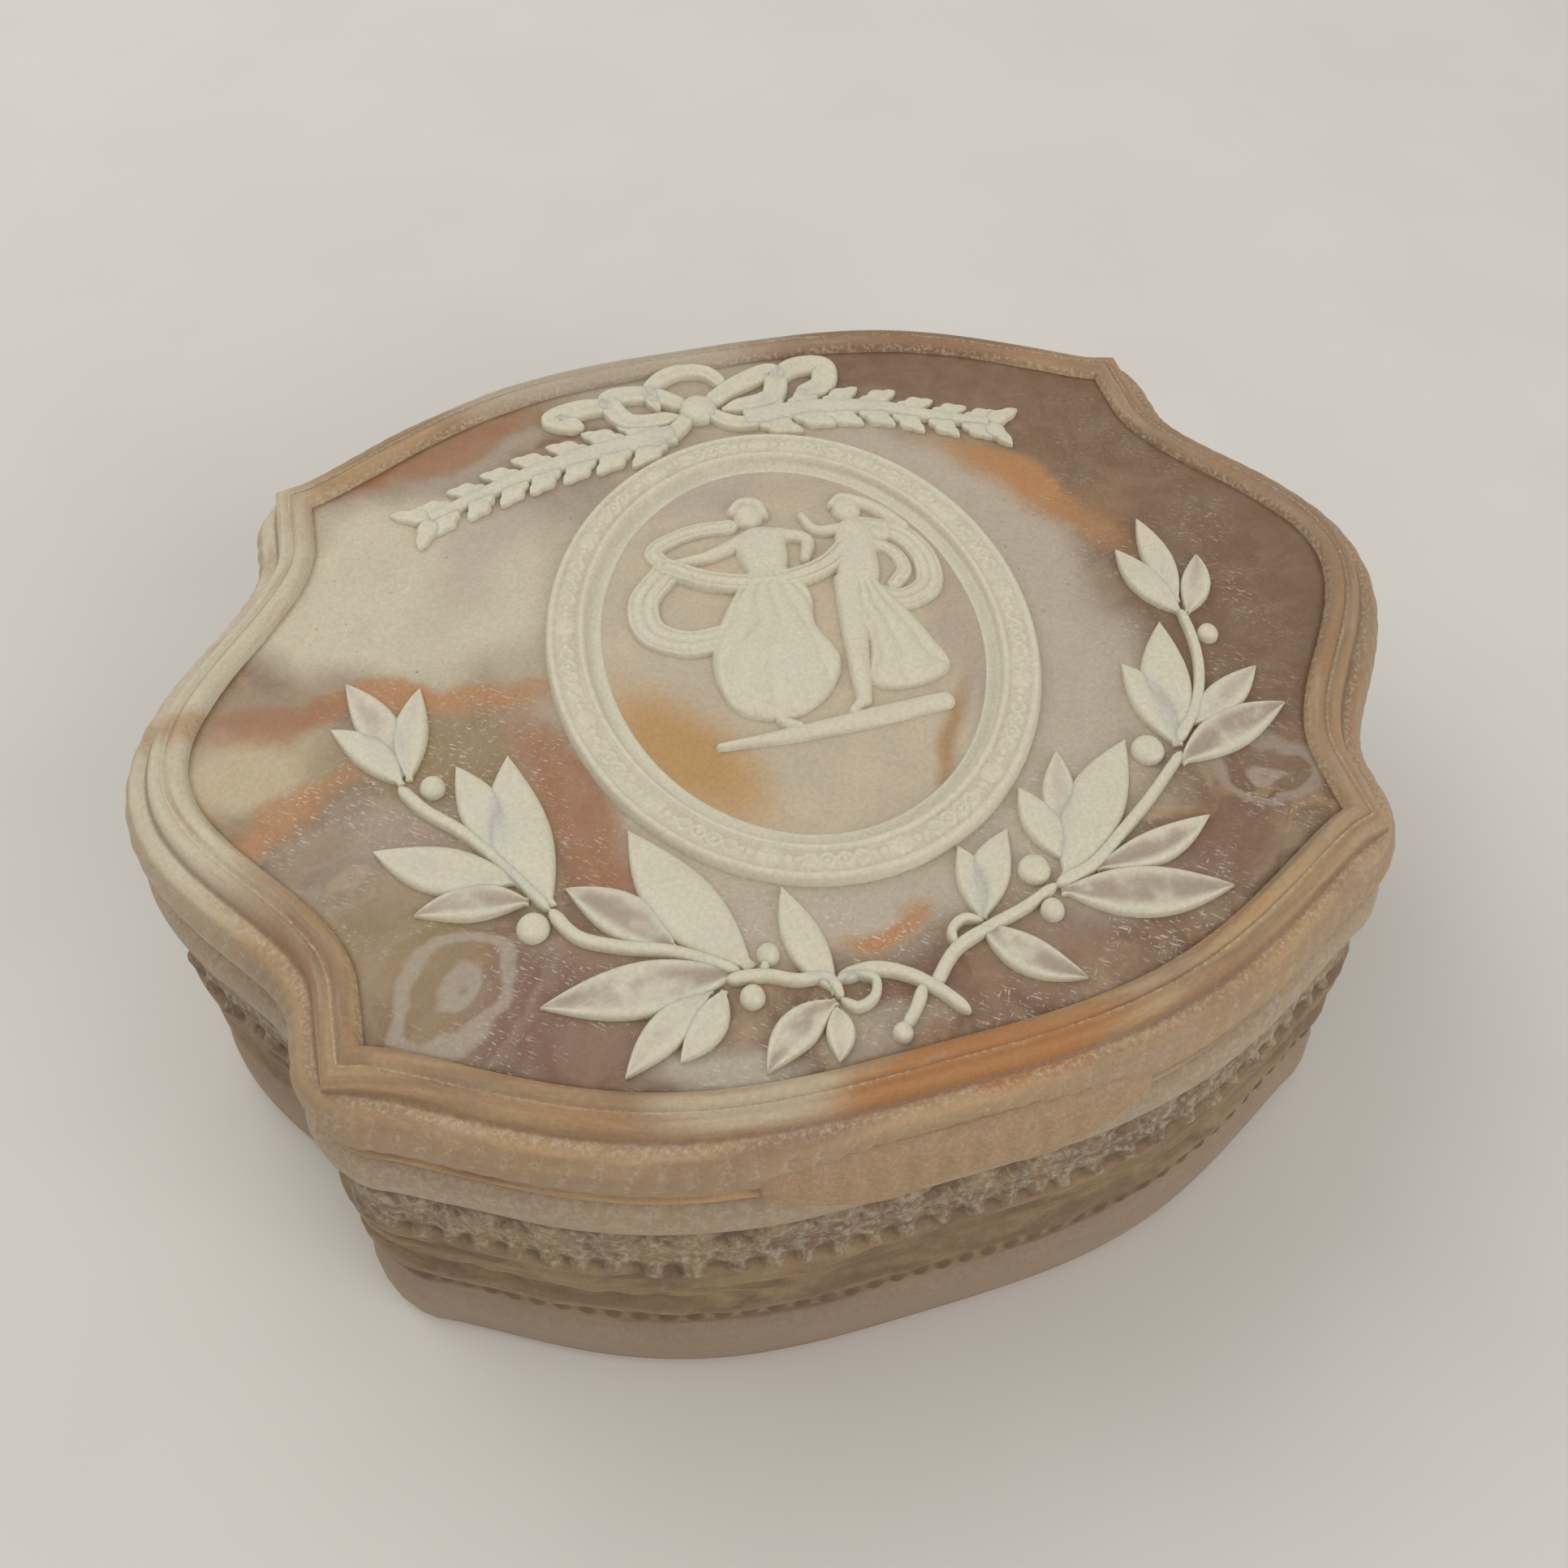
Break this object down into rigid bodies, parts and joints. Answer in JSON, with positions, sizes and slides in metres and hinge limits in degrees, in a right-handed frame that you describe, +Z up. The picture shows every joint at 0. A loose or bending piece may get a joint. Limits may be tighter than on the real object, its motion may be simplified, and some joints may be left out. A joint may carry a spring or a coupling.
{
  "type": "cameo jewelry box",
  "caption": "Low cartouche-shaped jewelry box in cast marbled stone: hollow base, lift-off lid with laurel branches, ribbon bow and an oval medallion of dancing figures in relief.",
  "frame": {"origin": "centre of the bounding box on the underside of the foot", "axes": "+X along the length, +Y to the back where the ribbon bow is, +Z up; the thumb-lift is at -Y"},
  "size_m": [0.1874, 0.1527, 0.07],
  "materials": {
    "marbled_stone": "satin caramel and mauve-grey marbling, dusty white in the carving's hollows",
    "cameo_stone": "satin caramel and cream marbling under ivory relief"
  },
  "bodies": {
    "root": {"box_base": "marbled_stone", "lid": "cameo_stone"}
  },
  "joints": []
}
